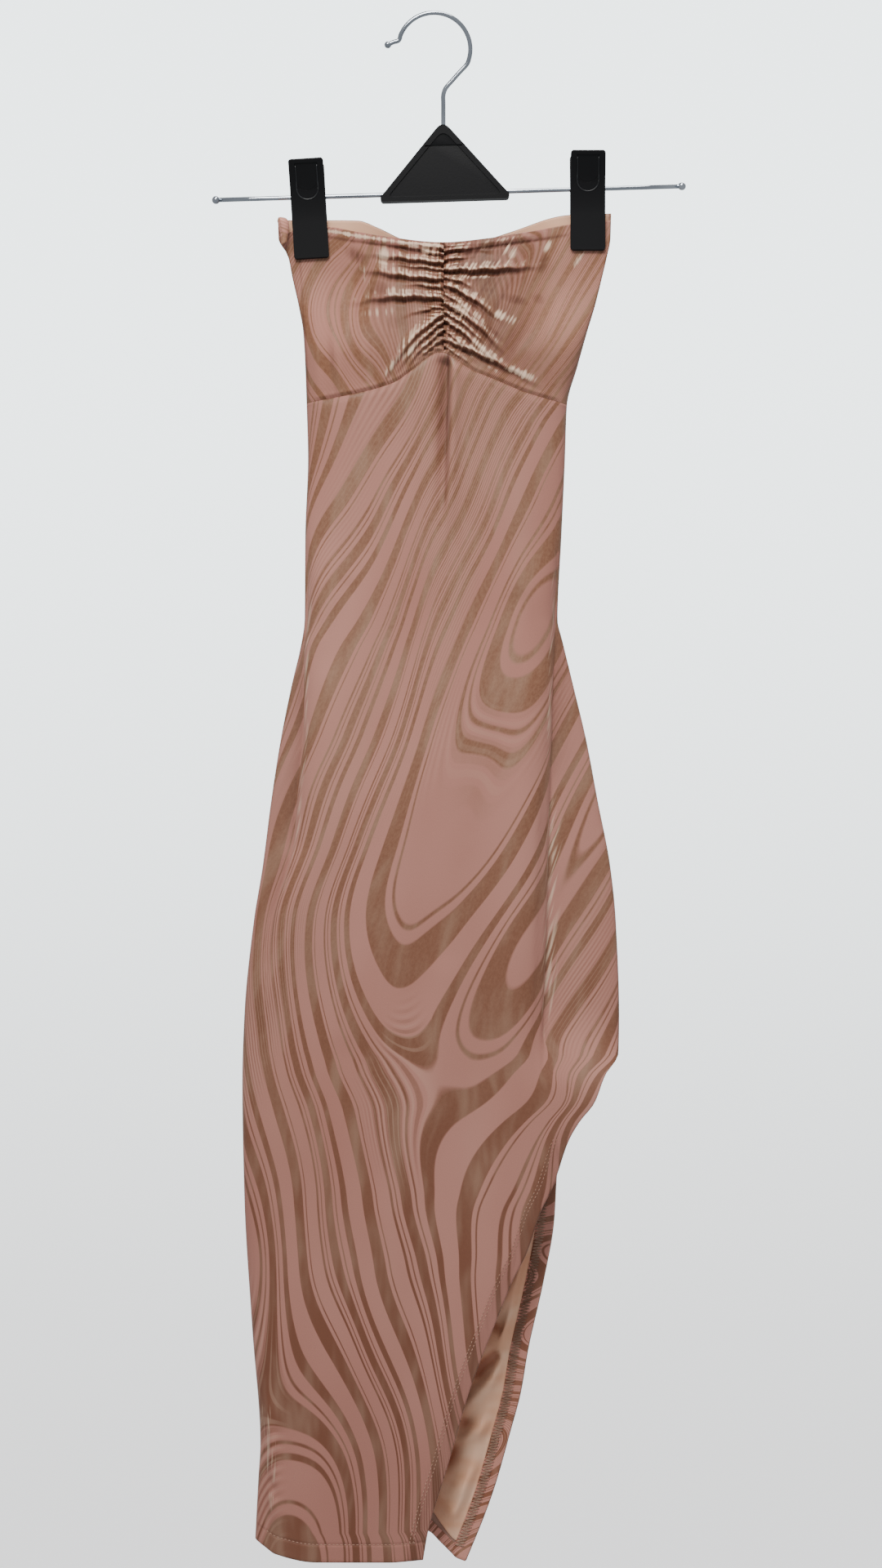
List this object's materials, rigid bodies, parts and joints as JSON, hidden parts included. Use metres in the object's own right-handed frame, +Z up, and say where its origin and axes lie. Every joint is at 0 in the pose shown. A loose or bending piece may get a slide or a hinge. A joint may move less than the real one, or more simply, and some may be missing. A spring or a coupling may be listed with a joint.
{
  "type": "strapless velvet dress on a clip hanger",
  "caption": "Strapless midi dress in patterned velvet with a gathered bust seam and a slit at one side, held flat by two clips on a bar hanger with a swivel hook.",
  "frame": {"origin": "top of the inside of the hook, where a rail carries the hanger", "axes": "+Z up along the hanging dress, the front faces -Y, +X to the right of a front view"},
  "size_m": [0.354, 0.0515, 1.16],
  "materials": {
    "velvet_bust": "stretch velvet, dusty pink with brown marbled stripes, soft sheen",
    "velvet_skirt": "stretch velvet, dusty pink with brown marbled stripes, soft sheen",
    "velvet_back": "stretch velvet, dusty pink with brown marbled stripes, soft sheen",
    "lining": "smooth peach lining",
    "facing": "turned velvet edge, overlocked",
    "chrome": "polished chrome plate",
    "black_plastic": "moulded, satin",
    "spring_steel": "drawn spring wire"
  },
  "bodies": {
    "root": {"bust_left": "velvet_bust", "bust_right": "velvet_bust", "skirt_front": "velvet_skirt", "back_panel": "velvet_back", "back_lining_top": "lining", "back_lining_slit": "lining", "back_slit_facing": "facing", "back_hem_facing": "facing", "hook": "chrome", "hanger_block": "black_plastic", "bar": "chrome", "clip_left_front": "black_plastic", "clip_left_back": "black_plastic", "clip_left_spring": "spring_steel", "clip_right_front": "black_plastic", "clip_right_back": "black_plastic", "clip_right_spring": "spring_steel"}
  },
  "joints": []
}
